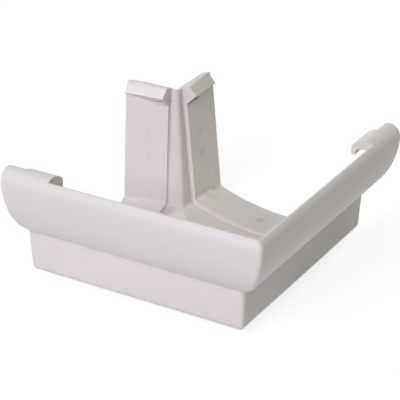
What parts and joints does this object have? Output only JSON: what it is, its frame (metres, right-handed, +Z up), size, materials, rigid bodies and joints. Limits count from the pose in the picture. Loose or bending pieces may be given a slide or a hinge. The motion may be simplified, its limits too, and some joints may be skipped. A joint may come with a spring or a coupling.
{
  "type": "gutter external angle",
  "caption": "Moulded right-angle corner fitting that joins two ogee rain gutters round an outside corner of a building, with snap clips over the front bead and nibs over the back edge.",
  "frame": {"origin": "Middle of the footprint, level with the lowest line of the curved floors.", "axes": "+Z is up. One arm's socket opens towards +X and the other's towards +Y; the building corner fills the notch at the +X +Y side."},
  "size_m": [0.1644, 0.1644, 0.0899],
  "materials": {
    "body": "white injection-moulded PVC with a low sheen"
  },
  "bodies": {
    "root": {"gutter_angle": "body"}
  },
  "joints": []
}
